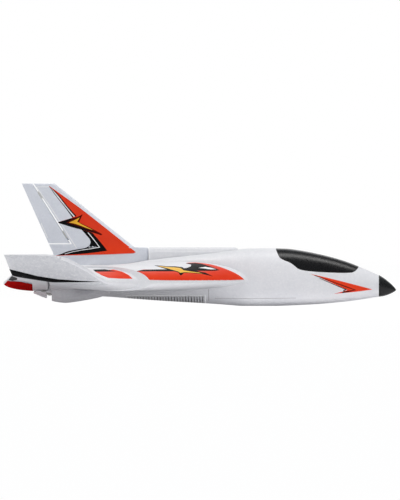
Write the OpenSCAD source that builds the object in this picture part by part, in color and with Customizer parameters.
// Ducted-fan delta jet: moulded foam airframe with two elevons, a rudder,
// a lift-off canopy hatch, a belly intake grille, a fan unit and radio parts.
// X runs to the nose, Y to the port wing, Z up.  Z = 0 is the lowest point of
// the belly, X = 0 the middle of the overall length, Y = 0 the plane of symmetry.

/* [Airframe] */
// Half width of the slab-sided part of the fuselage
body_hw = 30; // [29:0.5:31]
// Half span at the edge of the upturned tips
half_span = 249; // [240:1:255]
// Height of the wing leading edge above the belly
le_z = 29.8; // [29:0.1:30.5]
// Greatest rise of the wing root's upper surface
root_rise = 27; // [26:0.5:28]
// Clearance round the grille and beside the spine
gap = 0.3; // [0.2:0.05:0.4]

/* [Control surfaces] */
// Lever from each elevon hinge to its horn hole, and length of the servo arm
lever = 13; // [12.5:0.5:13.5]
// Half angle of the bevel along each hinge line
bevel = 17; // [15:1:19]
// Diameter of the hinge wires
wire_d = 1.0; // [0.8:0.1:1.2]

/* [Fan unit] */
// Bore of the fan shroud
fan_bore = 30.6; // [30.4:0.1:31]
// Number of rotor blades
blades = 6; // [4:1:8]
// Diameter of the motor can
motor_d = 13; // [12:0.5:14]
// Height of the thrust line
duct_z = 32; // [31.5:0.1:32.5]

/* [Hidden] */
$fn = 48;

// colours used by more than one piece
foam = [0.93, 0.93, 0.94];
carbon = [0.08, 0.08, 0.09];
nylon = [0.82, 0.82, 0.80];
magnet_grey = [0.7, 0.7, 0.73];
wire_grey = [0.75, 0.75, 0.78];
rod_grey = [0.72, 0.72, 0.75];
servo_blue = [0.10, 0.14, 0.32];
arm_white = [0.92, 0.92, 0.90];

// ---------- helpers ----------
function lerp(a, b, t) = a + (b - a) * t;
function clamp(v, low, high) = max(low, min(high, v));
function between(x, a, b, col) = lerp(a[col], b[col], (x - a[0]) / (b[0] - a[0]));
// value in column col of a table whose first column rises
function tab(x, table, col) =
  let (last = len(table) - 1)
  x <= table[0][0] ? table[0][col]
  : x >= table[last][0] ? table[last][col]
  : let (i = max([for (j = [0:last - 1]) if (table[j][0] <= x) j]))
    between(x, table[i], table[i + 1], col);

// ring at station x from [y, z] points of the port half; points low..high are mirrored
function x_ring(x, half, low, high) = concat(
  [for (p = half) [x, p[0], p[1]]],
  [for (i = [high:-1:low]) [x, -half[i][0], half[i][1]]]);
// ring at height z from [x, y] points of the port half, the first on the centre line
function z_ring(z, half) = concat(
  [for (p = half) [p[0], p[1], z]],
  [for (i = [len(half) - 1:-1:1]) [half[i][0], -half[i][1], z]]);

// closed solid through sections that all have the same number of points; each
// runs counter-clockwise about the direction of the sweep, or clockwise with cw
module loft(sections, cw = false) {
  count = len(sections[0]);
  last = len(sections) - 1;
  faces = concat(
    [[for (i = [count - 1:-1:0]) i]],
    [for (j = [0:last - 1]) for (i = [0:count - 1])
      let (here = j * count + i, next = j * count + (i + 1) % count)
      for (face = [[here, next, next + count], [here, next + count, here + count]]) face],
    [[for (i = [0:count - 1]) last * count + i]]);
  polyhedron(
    points = [for (section = sections) for (p = section) p],
    faces = [for (face = faces) cw ? face : [for (i = [len(face) - 1:-1:0]) face[i]]]);
}

// outline of [x, z] points made solid from y0 to y1
module side_prism(outline, y0, y1)
  translate([0, y1, 0]) rotate([90, 0, 0]) linear_extrude(y1 - y0) polygon(outline);
module boxes(list) for (b = list) translate(b[0]) cube(b[1]);
// children at place and at its mirror image across Y
module pair(place) for (s = [-1, 1]) translate([place[0], s * place[1], place[2]]) children();
module starboard() mirror([0, 1, 0]) children();
module pin_z(d, from, to) translate([0, 0, from]) cylinder(d = d, h = to - from, $fn = 32);
module pin_y(d, from, to) rotate([-90, 0, 0]) pin_z(d, from, to);
module rod_z(d, from, to) translate([0, 0, from]) cylinder(d = d, h = to - from, $fn = 24);
module rod_x(d, length) rotate([0, 90, 0]) rod_z(d, 0, length);
// frame on the thrust line with local Z towards the nose
module on_duct(x = 0) translate([x, 0, duct_z]) rotate([0, 90, 0]) children();

// ---------- shared places ----------
hinge_x = -190.8;                  // elevon hinge line, running out and up
hinge_y0 = 32;
hinge_z0 = 27.2;
hinge_y1 = 204;
hinge_z1 = 36;
hinge_tilt = atan2(hinge_z1 - hinge_z0, hinge_y1 - hinge_y0);
hinge_ys = [52.5, 112, 186];
link_y = 46;                       // plane of each elevon linkage
servo_x = -150;                    // output shaft of each elevon servo
link_hole_d = 1.12;                // pushrod holes in arms and horns
rod_d = 1;                         // pushrods
joiner_x = 12.5;
joiner_z = 38;
joiner_d = 6;
magnet_x = 108.5;
magnet_y = 10;
dowel_x = 197;
dowel_y = 5;
fan_r = fan_bore / 2;
shroud_r = fan_r + 1.2;

function hinge_z(y) = lerp(hinge_z0, hinge_z1, (y - hinge_y0) / (hinge_y1 - hinge_y0));
module on_link(x, y) translate([x, y, hinge_z(y)]) rotate([hinge_tilt, 0, 0]) children();
module on_hinge(y) on_link(hinge_x, y) children();
module on_servo() on_link(servo_x, link_y) children();

// ---------- wing surface ----------
panel_y = 169;      // step in the leading edge between the two panels
blunt_y = 32;       // the blunt lower surface blends out from here to panel_y
wing_steps = 11;    // points along each surface
wing_cut = hinge_x + 0.6;

// four-digit aerofoil thickness over the chord fraction, scaled to a peak near 1
function foil(u) = 10 * (0.2969 * sqrt(max(u, 0)) - 0.126 * u - 0.3516 * u * u
  + 0.2843 * pow(u, 3) - 0.1015 * pow(u, 4) - 0.0021 * u);
// full, flat-bottomed shape used below the wing root
function blunt(u) = u < 0.4 ? 1 - pow(1 - u / 0.4, 2.5)
  : u < 0.84 ? 1
  : sqrt(max(0, 1 - pow((u - 0.84) / 0.16, 2)));

// span station, leading edge x and z, trailing edge x and z,
// rise above and drop below the chord line
inner = [
  [body_hw, 61.4, le_z, -250, 29.4, root_rise, 10.2],
  [panel_y, -64, le_z, -239.5, 38, 18, 12.5]];
outer = [
  [panel_y, -77.4, le_z, -239.5, 38, 16, 11.8],
  [190, -96, le_z, -238.4, 38.6, 12.5, 8.4],
  [hinge_y1, -108.7, le_z, -237.7, 39.1, 10, 6.2],
  [211, -115, 30.3, -237.3, 39.4, 8.2, 5],
  [216, -122, 34, -238, 42, 6, 4.6],
  [230, -145, 48.6, -241.8, 52.3, 4.6, 4.4],
  [242, -165, 58.4, -245, 61.4, 4.2, 4],
  [half_span, -180, 63.6, -246.8, 65.2, 1.6, 1.6]];
function wing_le(panel, y) = tab(y, panel, 1);
function wing_te(panel, y) = tab(y, panel, 3);
function chord_at(panel, x, y) =
  clamp((wing_le(panel, y) - x) / (wing_le(panel, y) - wing_te(panel, y)), 0, 1);
function chord_z(panel, u, y) = lerp(tab(y, panel, 2), tab(y, panel, 4), u);
function wing_top(panel, x, y) =
  let (u = chord_at(panel, x, y))
  chord_z(panel, u, y) + tab(y, panel, 5) * foil(u) + 0.6 * u;
function wing_low(panel, x, y) =
  let (u = chord_at(panel, x, y), blend = clamp((y - blunt_y) / (panel_y - blunt_y), 0, 1))
  chord_z(panel, u, y) - tab(y, panel, 6) * lerp(blunt(u), foil(u), blend) - 0.6 * u;
// wing section at span y, cut off at x = cut, with points crowded to the front
function wing_section(panel, y, cut) =
  let (lead = wing_le(panel, y),
       xs = [for (i = [0:wing_steps]) lerp(lead, cut, 1 - cos(90 * i / wing_steps))])
  concat(
    [for (i = [wing_steps:-1:1]) [xs[i], y, wing_low(panel, xs[i], y)]],
    [[lead, y, chord_z(panel, 0, y)]],
    [for (i = [1:wing_steps]) [xs[i], y, wing_top(panel, xs[i], y)]]);

// ---------- fuselage surface ----------
// x, top, bottom, half width, shoulder height, depth of lower corner, depth of upper corner
body = [
  [-209.5, 51, 15.3, 20.6, 35, 15.4, 15.9],
  [-205, 51.2, 15.2, 22.5, 36, 14, 15],
  [-190, 51.6, 14.8, 29.2, 38.5, 9, 13],
  [-170, 51.9, 13.8, body_hw, 44.2, 8.5, 7.6],
  [-150, 52, 13, body_hw, 47.4, 8.5, 4.5],
  [-115, 52.1, 11.6, body_hw, 51.2, 8.5, 0.9],
  [-96, 53.6, 10.1, body_hw, 53, 9, 0.6],
  [-64, 58.5, 7.6, body_hw, 55.4, 10, 3],
  [-22, 63.4, 4.9, body_hw, 55.8, 13, 7.5],
  [10, 66.9, 3.1, body_hw, 53, 15, 14],
  [38, 70.6, 1.1, body_hw, 46, 17, 24],
  [50, 72.2, 0.1, body_hw, 40.5, 19, 31],
  [60, 73, -0.3, body_hw, 34, 22, 39],
  [85, 73.4, -0.3, 29.8, 31, 31, 42.4],
  [108, 73, 0.3, 29.2, 30.5, 30.1, 42.5],
  [127, 70.8, 1.1, 28.2, 30.2, 29.1, 40.6],
  [150, 66.4, 2.3, 26.2, 29.8, 27.5, 36.6],
  [170, 61.5, 4, 23.8, 29, 25, 32.5],
  [190, 55.2, 6.1, 21, 28, 21.9, 27.2],
  [207, 48.3, 8.4, 18, 27, 18.6, 21.3],
  [220, 42.6, 10.5, 15.3, 26, 15.5, 16.6],
  [227.7, 39.3, 11.8, 13.7, 25.55, 13.75, 13.75]];
function body_top(x) = tab(x, body, 1);
function body_low(x) = tab(x, body, 2);
function body_half(x) = tab(x, body, 3);
function low_depth(x) = min(tab(x, body, 5), tab(x, body, 4) - body_low(x));
function up_depth(x) = min(tab(x, body, 6), body_top(x) - tab(x, body, 4));
// exponents of the corner curves: 1 is an ellipse, less is squarer
function low_power(x) = lerp(0.72, 1, clamp((x - 150) / 77, 0, 1));
function up_power(x) = lerp(0.86, 1, clamp((x - 150) / 77, 0, 1));
// [y, z] on the corners: a runs from keel to side, then from side to roof
function low_point(x, a) =
  let (depth = low_depth(x), power = low_power(x))
  [body_half(x) * pow(sin(a), power), body_low(x) + depth - depth * pow(cos(a), power)];
function up_point(x, a, inset = 0) =
  let (depth = up_depth(x), power = up_power(x))
  [(body_half(x) - inset) * pow(max(0, cos(a)), power),
   body_top(x) - inset - depth + depth * pow(sin(a), power)];
function body_ring(x) = x_ring(x, concat(
  [for (i = [0:6]) low_point(x, i * 15)],
  [for (i = [0:8]) up_point(x, i * 11.25)]), 1, 14);

// side outline of the hatch, [x, z]: parting line, with ends well above the roof
hatch_line = [
  [96.5, 90], [96.5, 73], [98.6, 67.2], [101.4, 61.7], [106.9, 58.2], [115.2, 54.7],
  [120.8, 50.6], [126.3, 46.6], [134.6, 44.7], [155.4, 42.9], [183, 42], [192.7, 42.4],
  [198.9, 45.7], [202.5, 50.4], [206, 56], [206, 90]];
// parting line alone, each point eased forward 0.001 more than the last
hatch_edge = [for (i = [1:14]) [hatch_line[i][0] + i * 0.001, hatch_line[i][1]]];

// floor of the groove for the spine and the fin foot, [x, z]
groove_floor = [[-115, 49.5], [-65, 56.6], [0, 63], [48.4, 68.6]];
groove = concat([[-186.4, 80], [-186.4, 49.5]], groove_floor, [[48.4, 80]]);
spine_hw = 7;

grille_xs = [-94, -64, -40, -15, 7];
grille_x0 = grille_xs[0];
grille_len = grille_xs[4] - grille_x0;
grille_z = 13.2;    // top edge of the panel
grille_t = 2;

// ---------- fuselage and its fittings ----------
module joiner_bore(from, to) translate([joiner_x, from, joiner_z])
  rotate([-90, 0, 0]) cylinder(d = joiner_d + 0.1, h = to - from);

module fuselage() color(foam) difference() {
  loft([for (station = body) body_ring(station[0])]);
  // flat resting strip under the belly
  translate([0, -50, -10]) cube([150, 100, 10]);
  side_prism([for (p = hatch_line) p - [0, 0.35]], -40, 40);
  // battery and radio bay, from its floor up to the hatch, then its front end
  boxes([
    [[128, -17, 10.8], [50, 34, 40]],
    [[20, -22.5, 9], [90, 45, 42]],
    [[100, -17.5, 9], [40, 35, 42]],
    [[20, -17, 40], [79, 34, 24]],
    [[114, -18, 40], [66, 36, 24]],
    [[176, -11, 15], [16, 22, 34]]]);
  // intake chamber
  translate([-92, -23, 8]) cube([97, 46, 40.2]);
  // seats of the fan shroud, thrust tube, nozzle and intake ring
  on_duct(-121) cylinder(r = shroud_r + 0.1, h = 40);
  on_duct(-214) cylinder(r = fan_r + 0.9, h = 100);
  on_duct(-214) cylinder(r = fan_r + 1.05, h = 10.1);
  on_duct(-93.3) cylinder(r = 19.8, h = 8);
  // grille seat
  translate([grille_x0 - gap, -34, -5]) cube([grille_len + 2 * gap, 68, grille_z + gap + 5]);
  joiner_bore(-40, 40);
  side_prism(groove, -spine_hw - gap, spine_hw + gap);
  // bores for the hatch dowels and the bay magnets
  pair([dowel_x, dowel_y, 38]) pin_z(3.15, 0, 14);
  pair([magnet_x, magnet_y, 52]) cylinder(d = 6.1, h = 15.1);
}

// blunt ogive that drops to a low tip
nose_r = 13.7;
nose_len = 22.2;
nose_drop = 0.232;  // fall per unit of length
module nose_cone() color([0.06, 0.06, 0.07]) translate([227.8, 0, 25.55]) difference() {
  multmatrix([[1, 0, 0, 0], [0, 1, 0, 0], [-nose_drop, 0, 1, 0]]) rotate([0, 90, 0])
    rotate_extrude() polygon(concat([[0, 0]],
      [for (i = [0:12]) let (t = i / 12)
        [nose_r * pow(max(0, 1 - pow(t, 1.3)), 0.8), nose_len * t]]));
  translate([-1, 0, 0]) rotate([0, 90, 0]) cylinder(r = 8, h = 7);
}

// arched section above the parting line; an inset section also reaches 6 below it
function hatch_arch(x, inset) =
  let (top = body_top(x) - inset, depth = up_depth(x),
       edge = min(tab(x, hatch_edge, 1), top - 0.9) - (inset > 0 ? 6 : 0),
       rise = clamp((edge - top + depth) / depth, 0, 1),
       start = asin(pow(rise, 1 / up_power(x))))
  x_ring(x, [for (i = [0:9]) up_point(x, lerp(start, 90, i / 9), inset)], 0, 8);
hatch_xs = [96.9, 98.6, 101.4, 106.9, 111, 115.2, 120.8, 126.3, 134.6, 145, 155.4, 170,
  183, 192.7, 198.9, 201.6];
hatch_hollow_xs = [116, 127, 140, 155, 170, 188];
module canopy_hatch() color([0.05, 0.05, 0.06]) difference() {
  loft([for (x = hatch_xs) hatch_arch(x, 0)]);
  loft([for (x = hatch_hollow_xs) hatch_arch(x, 2.6)]);
  pair([magnet_x, magnet_y, 55]) cylinder(d = 5.1, h = 8.3);
  pair([dowel_x, dowel_y, 40]) pin_z(3.05, 0, 8.6);
}
module hatch_dowels() color(nylon) pair([dowel_x, dowel_y, 38.2]) pin_z(3, 0, 10.3);
module hatch_magnets() color(magnet_grey)
  pair([magnet_x, magnet_y, 60.2]) cylinder(d = 5, h = 3);
module bay_magnets() color(magnet_grey)
  pair([magnet_x, magnet_y, 52.1]) cylinder(d = 6, h = 3.6);

// round-shouldered strip along the back, lower and narrower at its front end
function spine_ring(x) =
  let (low = tab(x, groove_floor, 1) + 0.15, top = x > 45 ? 73.4 : 74.5,
       half = x > 45 ? spine_hw - 1 : spine_hw)
  x_ring(x, [[half, low], [half, 69.3], [half - 0.7, 71.5], [half - 2.2, top - 0.9],
    [half - 4, top]], 0, 4);
module dorsal_spine() color(foam)
  loft([for (x = [-64.8, -40, -20, 0, 20, 44, 48]) spine_ring(x)]);

// curved belly panel that follows the lower corners up to grille_z
function grille_ring(x) =
  let (rise = clamp(1 - (grille_z - body_low(x)) / low_depth(x), 0, 1),
       reach = acos(pow(rise, 1 / low_power(x))),
       skin = [for (i = [0:4]) low_point(x, reach * i / 4)],
       inside = [for (p = skin) [max(0, p[0] - grille_t * 1.3 * p[0] / body_half(x)),
         min(grille_z, p[1] + grille_t)]])
  x_ring(x, concat(skin,
    [for (i = [4:-1:0]) [inside[i][0] - (i == 4 ? 0.8 : 0), inside[i][1]]]), 1, 8);
slot_w = 1.3;
slot_pitch = 3.6;
slot_rake = 0.7;    // how far aft the top of a slot leans
module intake_grille() color(foam) union() {
  difference() {
    loft([for (x = grille_xs) grille_ring(x)]);
    for (i = [0:26], s = [-1, 1]) hull() {
      translate([-90.3 + i * slot_pitch, s * 18 - 16, -2]) cube([slot_w, 32, 0.1]);
      translate([-90.3 - slot_rake + i * slot_pitch, s * 18 - 16, 12.5])
        cube([slot_w, 32, 0.1]);
    }
  }
  // stiffening rib along the middle
  loft([for (x = grille_xs) x_ring(x, [[2.2, body_low(x) + 0.5], [2.2, 12.3]], 0, 1)]);
}

// ---------- wings and elevons ----------
module wing_left() color(foam) difference() {
  loft(concat(
    [for (y = [body_hw + 0.05, 55, 90, 130, panel_y - 0.05]) wing_section(inner, y, wing_cut)],
    [for (y = [panel_y, 180, 190, hinge_y1 - 0.1]) wing_section(outer, y, wing_cut)],
    [for (y = [204.5, 211, 216, 223, 230, 236, 242, half_span])
      wing_section(outer, y, wing_te(outer, y))]), cw = true);
  // servo pocket and its arm slot
  on_servo() boxes([
    [[-10.2, 3.4, -14], [22.4, 21, 18.5]],
    [[-6.5, -3.6, -14], [13, 7.1, 18.5]]]);
  for (y = hinge_ys) on_hinge(y) hinge_cut();
  joiner_bore(20, 64);
}
module wing_joiner_tube() color(carbon) translate([joiner_x, -62, joiner_z])
  rotate([-90, 0, 0]) difference() {
    cylinder(d = joiner_d, h = 124);
    translate([0, 0, -1]) cylinder(d = 4, h = 126);
  }

// each hinge has outer knuckles on the wing, a middle one on the elevon and a wire
hinge_half = 7;
barrel_d = 3.2;
leaf_t = 0.8;
wing_knuckles = [[-hinge_half, -2.7], [2.7, hinge_half]];
module hinge_cut() {
  pin_y(4.4, -7.2, 7.2);
  translate([-0.5, -7.2, -0.55]) cube([12.5, 14.4, 1.1]);
}
module knuckle(from, to) difference() {
  pin_y(barrel_d, from, to);
  pin_y(wire_d + 0.1, from - 1, to + 1);
}
// flat leaf in the XY plane between x0 and x1
module leaf(x0, x1, y0, y1) translate([x0, y0, -leaf_t / 2]) cube([x1 - x0, y1 - y0, leaf_t]);
module wing_hinges_left() color(nylon) for (y = hinge_ys) on_hinge(y) {
  for (k = wing_knuckles) knuckle(k[0], k[1]);
  difference() {
    union() {
      for (k = wing_knuckles) leaf(1.2, 11.1, k[0], k[1]);
      leaf(3, 11.1, -hinge_half, hinge_half);
    }
    pin_y(barrel_d - 0.01, -8, 8);
  }
}
module elevon_hinges_left() color(nylon) for (y = hinge_ys) on_hinge(y) {
  knuckle(-2.5, 2.5);
  difference() {
    union() {
      leaf(-11.1, -1.2, -2.5, 2.5);
      leaf(-11.1, -3, -hinge_half, hinge_half);
    }
    pin_y(barrel_d - 0.01, -8, 8);
  }
}
module hinge_wires_left() color(wire_grey)
  for (y = hinge_ys) on_hinge(y) pin_y(wire_d, -6.8, 6.8);

// elevon section: bevelled nose on the hinge line, then the wing's own surface
function elevon_section(y) =
  let (panel = y < panel_y ? inner : outer, z = hinge_z(y), nose = hinge_x - 0.5,
       top_x = nose - (wing_top(panel, nose - 4, y) - z) * tan(bevel),
       low_x = nose - (z - wing_low(panel, nose - 3, y)) * tan(bevel),
       trail = wing_te(panel, y))
  concat(
    [[nose, y, z]],
    [for (i = [0:7]) let (x = lerp(top_x, trail, pow(i / 7, 0.9)))
      [x, y, wing_top(panel, x, y)]],
    [for (i = [7:-1:0]) let (x = lerp(low_x, trail, 1 - pow(1 - i / 7, 1.6)))
      [x, y, wing_low(panel, x, y)]]);
module elevon_left() color(foam) difference() {
  loft([for (y = [31.2, 60, 90, 120, 150, 168.5, 180, 192, 203.6]) elevon_section(y)],
    cw = true);
  for (y = hinge_ys) on_hinge(y) mirror([1, 0, 0]) hinge_cut();
  // horn pocket
  on_hinge(link_y) translate([-11.7, -1.1, -12]) cube([6.9, 2.2, 9]);
}

// ---------- elevon linkage ----------
// case outboard, boss and shaft facing inboard
module servo_left() color(servo_blue) on_servo() union() {
  translate([-9.8, 4.4, -4.2]) cube([21.6, 19, 8.4]);
  pin_y(7.6, 3.6, 4.6);
  pin_y(3.6, 1.6, 3.8);
}
module servo_arm_left() color(arm_white) on_servo() difference() {
  union() {
    pin_y(6.4, -1.2, 3.1);
    translate([-1.6, -1.2, -lever]) cube([3.2, 1.5, lever]);
    translate([0, 0, -lever]) pin_y(3.6, -1.2, 0.3);
  }
  pin_y(3.7, 1.4, 3.9);
  translate([0, 0, -lever]) pin_y(link_hole_d, -3, 3);
}
// straight rod inboard of arm and horn, with an end bent outboard through each
module pushrod_left() color(rod_grey) on_servo() translate([0, 0, -lever]) union() {
  translate([0, -2.2, 0]) pin_y(rod_d, -0.5, 3.6);
  translate([0.5, -2.2, 0]) rotate([0, -90, 0]) rod_z(rod_d, 0, servo_x - hinge_x + 1);
  translate([hinge_x - servo_x, -2.2, 0]) pin_y(rod_d, -0.5, 5);
}
// outline [x, z] about the hinge
horn_outline = [[1.7, -11.6], [1.7, -14.4], [-1.4, -14.8], [-5.2, -12], [-11.4, -10.8],
  [-11.4, -3.4], [-5.2, -3.4], [-5.2, -9.4], [-3.4, -10.6]];
module horn_left() color(nylon) on_hinge(link_y) difference() {
  side_prism(horn_outline, -0.8, 0.8);
  translate([0, 0, -lever]) pin_y(link_hole_d, -3, 3);
}

fair_side_z = 16.4;   // where a fairing's rounded underside meets its upright sides
// thin slice at a station [x, half width, bottom], with a flat top
module fair_slice(station, top) {
  half = station[1];
  depth = fair_side_z - station[2];
  translate([station[0], link_y, 0]) rotate([90, 0, 90]) linear_extrude(0.02)
    polygon(concat(
      [for (i = [0:8]) let (a = 180 + i * 22.5)
        [half * cos(a), fair_side_z + depth * (i == 0 || i == 8 ? 0 : -pow(-sin(a), 0.72))]],
      [[half, top], [-half, top]]));
}
module fairing(stations, top) for (i = [0:len(stations) - 2]) hull() {
  fair_slice(stations[i], top);
  fair_slice(stations[i + 1], top);
}
// bottom of the linkage fairing, [x, z]
fair_bottom = [[-189, 6.8], [-187.4, 6.3], [-179, 4.6], [-171, 3.9], [-160, 5],
  [-150, 6.6], [-140, 8.4], [-128, 11], [-120, 13.6], [-113.5, 16]];
function fair_half(x) = 9.6 * pow(max(0, sin(90 * clamp((-112 - x) / 34, 0, 1))), 0.7);
link_stations = [for (x = [-188.4, -183, -177, -171, -163, -154, -144, -134, -124, -114.5])
  [x, max(2.2, fair_half(x)), tab(x, fair_bottom, 1)]];
horn_stations = [[-211.5, 4, 16], [-208.6, 6.2, 14.9], [-201, 8.4, 11.8], [-195.3, 9.3, 9.9]];
module linkage_fairing_left() color(foam) difference() {
  fairing(link_stations, 18.7);
  translate([-190, link_y - 4.2, 9]) cube([46, 8.4, 30]);
}
module horn_fairing_left() color(foam) difference() {
  fairing(horn_stations, 18.2);
  translate([-203, link_y - 3.2, 12.9]) cube([10, 6.4, 12]);
}

// ---------- fin and rudder ----------
rud_foot = [-163.4, 0, 77.6];      // ends of the rudder hinge line
rud_head = [-212.4, 0, 155.3];
rud_tilt = atan2(rud_foot[0] - rud_head[0], rud_head[2] - rud_foot[2]);
rud_lever = 10;
rud_hinges = [0.18, 0.82];         // hinge places as fractions of the hinge line
rud_horn_at = 0.105;               // horn place, likewise
rud_barrel_d = 2.4;
fin_top = 155.9;
function fin_le(z) = lerp(-83.2, -185, (z - 74.6) / (fin_top - 74.6));
function fin_te(z) = lerp(-185.7, -227, (z - 63.6) / (fin_top - 63.6));
function rud_x(z) =
  lerp(rud_foot[0], rud_head[0], (z - rud_foot[2]) / (rud_head[2] - rud_foot[2]));
// z, greatest half thickness
fin_thick = [[49.6, 7], [66, 7], [74.5, 5.6], [80, 4.9], [110, 3.9], [fin_top, 2.7]];
// fin half thickness at height z and fraction u of the full chord
function fin_half(z, u) =
  let (most = tab(z, fin_thick, 1))
  u < 0.12 ? most * (0.35 + 0.65 * sqrt(u / 0.12))
  : u < 0.5 ? most
  : lerp(most, 0.7, (u - 0.5) / 0.5);
// section from lead to cut, of a full chord that ends at trail
function fin_section(z, lead, cut, trail) = z_ring(z, concat([[lead, 0]],
  [for (f = [0.03, 0.12, 0.3, 0.5, 0.75, 1])
    let (x = lerp(lead, cut, f)) [x, fin_half(z, (lead - x) / (lead - trail))]]));
// z, leading edge x, trailing edge x, up to the foot of the rudder
fin_foot = [
  [49.65, -115.5, -185.6],
  [56.9, -65.3, -185.7],
  [66, -65.3, -186.8],
  [73.2, -65.6, -190],
  [74.5, -66.5, -190.5],
  [74.6, -83.2, -190.6],
  [78.6, fin_le(78.6), fin_te(78.6)]];
module on_rudder(t) translate(lerp(rud_foot, rud_head, t)) rotate([0, -rud_tilt, 0]) children();
module rud_hinge_cut(slot_x) {
  pin_z(3.7, -5.2, 5.2);
  translate([slot_x, -0.5, -5.2]) cube([9, 1, 10.4]);
}
module fin() color(foam) difference() {
  loft(concat(
    [for (row = fin_foot) fin_section(row[0], row[1], row[2], row[2])],
    [for (z = [78.7, 95, 120, 140, fin_top])
      fin_section(z, fin_le(z), rud_x(z) + 0.9, fin_te(z))]));
  for (t = rud_hinges) on_rudder(t) rud_hinge_cut(0.4);
  // servo seat in the port side of the foot, and room for the arm
  on_rud_servo() boxes([
    [[-9.5, -4.3, -18.6], [19.4, 12, 20]],
    [[-6.5, -4, 1], [13, 20, 4.6]]]);
}
// pointed nose on the hinge line, then the fin's own taper
function rudder_section(z) =
  let (lead = fin_le(z), trail = fin_te(z), nose = rud_x(z) - 0.7, full = nose - 1.2,
       u = (lead - full) / (lead - trail))
  z_ring(z, [[nose, 0], [full, fin_half(z, u) - 0.1],
    [lerp(full, trail, 0.5), fin_half(z, (u + 1) / 2)], [trail, 0.7]]);
module rudder() color(foam) difference() {
  loft([for (z = [79.6, 95, 120, 140, fin_top]) rudder_section(z)]);
  for (t = rud_hinges) on_rudder(t) rud_hinge_cut(-9.4);
  on_rudder(rud_horn_at) translate([-9.5, -2, -2]) cube([5.4, 30, 4]);
}
// knuckle and its leaf, which starts at leaf_x
module rud_hinge_part(leaf_x, from, to) {
  difference() {
    pin_z(rud_barrel_d, from, to);
    pin_z(wire_d + 0.1, from - 1, to + 1);
  }
  difference() {
    translate([leaf_x, -0.35, from]) cube([8.2, 0.7, to - from]);
    pin_z(rud_barrel_d - 0.01, -9, 9);
  }
}
module fin_hinges() color(nylon) for (t = rud_hinges) on_rudder(t) {
  rud_hinge_part(0.8, -5, -1.9);
  rud_hinge_part(0.8, 1.9, 5);
}
module rudder_hinges() color(nylon)
  for (t = rud_hinges) on_rudder(t) rud_hinge_part(-9, -1.7, 1.7);
module rudder_hinge_wires() color(wire_grey)
  for (t = rud_hinges) on_rudder(t) pin_z(wire_d, -4.9, 4.9);
module rudder_horn() color(nylon) on_rudder(rud_horn_at) difference() {
  union() {
    translate([-9.2, -1.8, -0.75]) cube([4.8, 9, 1.5]);
    translate([-9.2, rud_lever - 3, -0.75]) cube([10.2, 4, 1.5]);
    translate([0, rud_lever, 0]) pin_z(4, -0.75, 0.75);
  }
  translate([0, rud_lever, 0]) pin_z(link_hole_d, -3, 3);
}

// rudder servo: its shaft is parallel to the rudder hinge
rud_servo = [-124, 0, 71.8];
module on_rud_servo() translate(rud_servo) rotate([0, -rud_tilt, 0]) children();
module servo_rudder() color(servo_blue) on_rud_servo() union() {
  translate([-9.3, -4.1, -18.4]) cube([19, 8.2, 18.2]);
  pin_z(6.6, -0.4, 0.6);
  pin_z(3.2, 0.4, 2.3);
}
module servo_arm_rudder() color(arm_white) on_rud_servo() difference() {
  union() {
    pin_z(5.6, 0.9, 3.9);
    translate([-1.4, 0, 2.5]) cube([2.8, rud_lever, 1.4]);
    translate([0, rud_lever, 0]) pin_z(3.4, 2.5, 3.9);
  }
  pin_z(3.3, 0, 2.4);
  translate([0, rud_lever, 0]) pin_z(link_hole_d, -3, 9);
}
// from the servo shaft to the horn, turned into the servo's own frame
to_horn = lerp(rud_foot, rud_head, rud_horn_at) - rud_servo;
horn_dx = to_horn[0] * cos(rud_tilt) + to_horn[2] * sin(rud_tilt);
horn_dz = -to_horn[0] * sin(rud_tilt) + to_horn[2] * cos(rud_tilt);
module pushrod_rudder() {
  start = [0, 0, 5.6];
  run = [horn_dx, 0, horn_dz + 4.4] - start;
  color(rod_grey) on_rud_servo() translate([0, rud_lever, 0]) union() {
    rod_z(rod_d, 1.4, 6);
    translate([horn_dx, 0, horn_dz]) rod_z(rod_d, -2, 4.6);
    translate(start) rotate([0, atan2(run[0], run[2]), 0]) rod_z(rod_d, 0, norm(run));
  }
}

// ---------- fan unit ----------
fan_x = -104;       // rotor plane
hub_r = 6.2;
hub_len = 9.2;
blade_t = 1.1;
blade_pitch = 52;
screw_y = 4.6;
shaft_d = 1.5;
motor_r = motor_d / 2;
// duct wall with a motor cup held by five vanes
module fan_shroud() color(carbon) on_duct() union() {
  difference() {
    translate([0, 0, -120.8]) cylinder(r = shroud_r, h = 27.6);
    translate([0, 0, -122]) cylinder(r = fan_r, h = 40);
  }
  difference() {
    union() {
      translate([0, 0, -120.8]) cylinder(r = motor_r + 1, h = 9);
      for (i = [0:4]) rotate([0, 0, i * 72])
        translate([motor_r + 0.4, -0.5, -120.6]) cube([fan_r - motor_r + 0.2, 1, 8.4]);
    }
    translate([0, 0, -121]) cylinder(r = motor_r + 0.05, h = 8);
    translate([0, 0, -122]) cylinder(r = 3, h = 14);
    pair([0, screw_y, 0]) rod_z(1.7, -122, -108);
  }
}
module motor_screws() color([0.6, 0.6, 0.62]) on_duct() pair([0, screw_y, 0]) union() {
  rod_z(1.5, -114.8, -111.6);
  rod_z(2.8, -111.7, -110.7);
}
module fan_motor() color([0.62, 0.62, 0.65]) on_duct(-128) difference() {
  union() {
    cylinder(r = motor_r, h = 14.9);
    translate([0, 0, -1]) cylinder(r = motor_r - 1.2, h = 2);
  }
  rod_z(shaft_d + 0.1, -3, 27);
  pair([0, screw_y, 0]) rod_z(1.55, 12.8, 16.8);
}
module motor_shaft() color([0.8, 0.8, 0.82]) on_duct(-127) rod_z(shaft_d, 0, 30);
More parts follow.
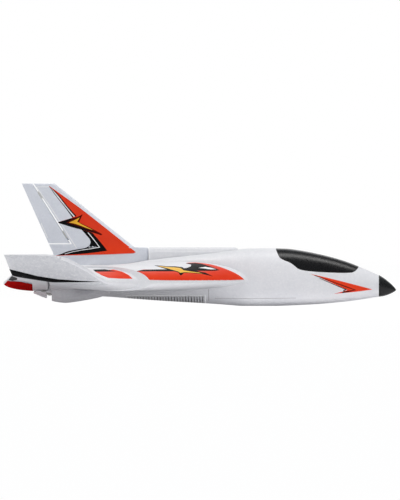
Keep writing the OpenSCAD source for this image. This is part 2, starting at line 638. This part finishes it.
// hub with pitched flat blades trimmed to the bore
module fan_rotor() color([0.1, 0.1, 0.11]) on_duct(fan_x) difference() {
  union() {
    translate([0, 0, -hub_len / 2]) cylinder(r = hub_r, h = hub_len);
    intersection() {
      for (i = [0:blades - 1]) rotate([0, 0, i * 360 / blades])
        translate([5, 0, 0]) rotate([blade_pitch, 0, 0])
          translate([0, -4.6, -blade_t / 2]) cube([12, 9.2, blade_t]);
      translate([0, 0, -4.4]) cylinder(r = fan_r - 0.35, h = 8.8);
    }
  }
  rod_z(shaft_d + 0.1, -6, 6);
}
module fan_spinner() color([0.85, 0.85, 0.86]) on_duct(fan_x + hub_len / 2 + 0.1) difference() {
  rotate_extrude() polygon(concat([[0, 0]],
    [for (i = [0:8]) let (a = i * 11.25) [hub_r * cos(a), 7.5 * sin(a)]]));
  rod_z(shaft_d + 0.1, -1, 3);
}
// flared lip in front of the shroud
module intake_ring() color(carbon) on_duct(-93.1) rotate_extrude() polygon(concat(
  [[fan_r, 0], [fan_r + 1.1, 0]],
  [for (i = [0:6]) let (a = i * 15) [fan_r + 1.1 + 3 * (1 - cos(a)), 5.5 * sin(a) + 0.2]],
  [for (i = [6:-1:0]) let (a = i * 15) [fan_r + 3.3 * (1 - cos(a)), 6.6 * sin(a) + 0.1]]));
module thrust_tube() color([0.15, 0.15, 0.16]) on_duct(-203.8) difference() {
  cylinder(r = fan_r + 0.8, h = 82.8);
  translate([0, 0, -1]) cylinder(r = fan_r, h = 84.8);
}
module exhaust_nozzle() color(carbon) on_duct() difference() {
  translate([0, 0, -211]) cylinder(r = fan_r + 0.95, h = 7);
  translate([0, 0, -212]) cylinder(r1 = fan_r - 1.2, r2 = fan_r - 0.5, h = 9);
}

// ---------- battery and radio ----------
// plate with two pairs of strap slots
module battery_tray() color([0.75, 0.62, 0.42]) difference() {
  translate([104, -16, 10.9]) cube([68, 32, 1.6]);
  for (x = [122, 150], s = [-1, 1]) translate([x, s * 14.6 - 1.2, 8]) cube([12.4, 2.4, 6]);
}
module battery() color([0.16, 0.22, 0.5]) hull()
  for (x = [110, 166], s = [-1, 1])
    translate([x, s * 9.6, 12.7]) cylinder(r = 3, h = 19, $fn = 20);
module battery_strap() color([0.07, 0.07, 0.08]) difference() {
  translate([122.3, -15.2, 9.2]) cube([11.8, 30.4, 24]);
  translate([121, -14, 12.6]) cube([14, 28, 19.3]);
  translate([121, -14, 10.5]) cube([14, 28, 2.3]);
}
module battery_lead() color([0.75, 0.08, 0.06]) pair([86.1, 2.2, 22]) rod_x(2.2, 20.8);
// case with grooves across its top
module speed_controller() color([0.08, 0.08, 0.09]) translate([52, -9, 9.3]) difference() {
  cube([34, 18, 16.5]);
  for (i = [0:5]) translate([4 + i * 4.4, -1, 15.2]) cube([2.2, 20, 2]);
}
module motor_leads() color([0.1, 0.1, 0.1])
  for (i = [-1, 0, 1]) translate([22, i * 2.6, 14]) rod_x(1.8, 29.9);
module radio_receiver() color([0.12, 0.12, 0.13]) translate([56, -10, 26.1]) union() {
  cube([24, 20, 8]);
  translate([24, 2, 1]) cube([3, 16, 5]);
}
module antenna() color([0.2, 0.2, 0.2]) translate([27, 0, 33]) rod_x(1.2, 28.9);

// ---------- assembly ----------
fuselage();
nose_cone();
canopy_hatch();
hatch_dowels();
hatch_magnets();
bay_magnets();
dorsal_spine();
intake_grille();
wing_left();
starboard() wing_left();  // wing_right
wing_joiner_tube();
elevon_left();
starboard() elevon_left();  // elevon_right
wing_hinges_left();
starboard() wing_hinges_left();  // wing_hinges_right
elevon_hinges_left();
starboard() elevon_hinges_left();  // elevon_hinges_right
hinge_wires_left();
starboard() hinge_wires_left();  // hinge_wires_right
fin();
rudder();
fin_hinges();
rudder_hinges();
rudder_hinge_wires();
linkage_fairing_left();
starboard() linkage_fairing_left();  // linkage_fairing_right
horn_fairing_left();
starboard() horn_fairing_left();  // horn_fairing_right
horn_left();
starboard() horn_left();  // horn_right
rudder_horn();
servo_left();
starboard() servo_left();  // servo_right
servo_rudder();
servo_arm_left();
starboard() servo_arm_left();  // servo_arm_right
servo_arm_rudder();
pushrod_left();
starboard() pushrod_left();  // pushrod_right
pushrod_rudder();
fan_shroud();
fan_rotor();
fan_spinner();
motor_shaft();
fan_motor();
motor_screws();
intake_ring();
thrust_tube();
exhaust_nozzle();
battery();
battery_strap();
battery_tray();
battery_lead();
speed_controller();
motor_leads();
radio_receiver();
antenna();
